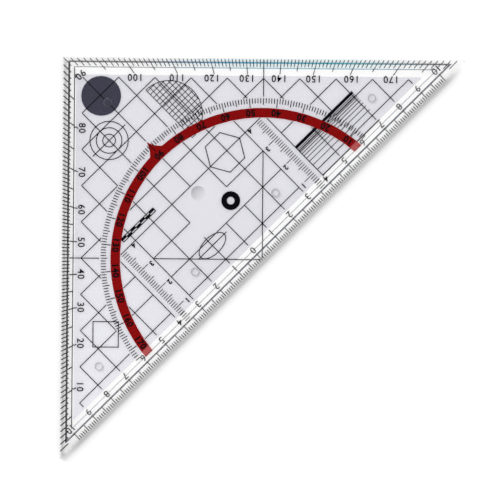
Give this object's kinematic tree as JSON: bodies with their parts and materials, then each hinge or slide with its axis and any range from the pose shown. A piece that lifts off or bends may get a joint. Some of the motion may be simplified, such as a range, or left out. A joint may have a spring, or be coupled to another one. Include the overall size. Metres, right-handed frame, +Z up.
{
  "type": "multi-angle set square",
  "caption": "Clear set square: a right-angled isosceles plate with a stepped rim and small feet, with ruler, degree and ladder scales sunk in its underside over printed ink lines.",
  "frame": {"origin": "centre of the bounding box at the feet: halfway between the ruling edge and the right-angled corner, in the plane the feet rest on", "axes": "+X along the long ruling edge towards its high-numbered leg, +Y from the ruling edge to the right-angled corner, +Z up out of the raised upper side"},
  "size_m": [0.2212, 0.111, 0.0029],
  "materials": {
    "clear_plastic": "clear, polished",
    "black_ink": "printed ink",
    "grey_ink": "printed ink",
    "red_ink": "printed ink"
  },
  "bodies": {
    "root": {"plate": "clear_plastic", "grid_outer": "black_ink", "grid_middle": "black_ink", "grid_side": "black_ink", "grid_side_2": "black_ink", "protractor_band": "red_ink", "centre_disc": "black_ink", "corner_disc": "grey_ink", "hatch_patch": "black_ink", "line_rake": "black_ink", "circle_set": "black_ink", "hexagon_outline": "black_ink", "oval_outline": "black_ink", "chequer_bar": "black_ink", "square_outline": "black_ink"}
  },
  "joints": []
}
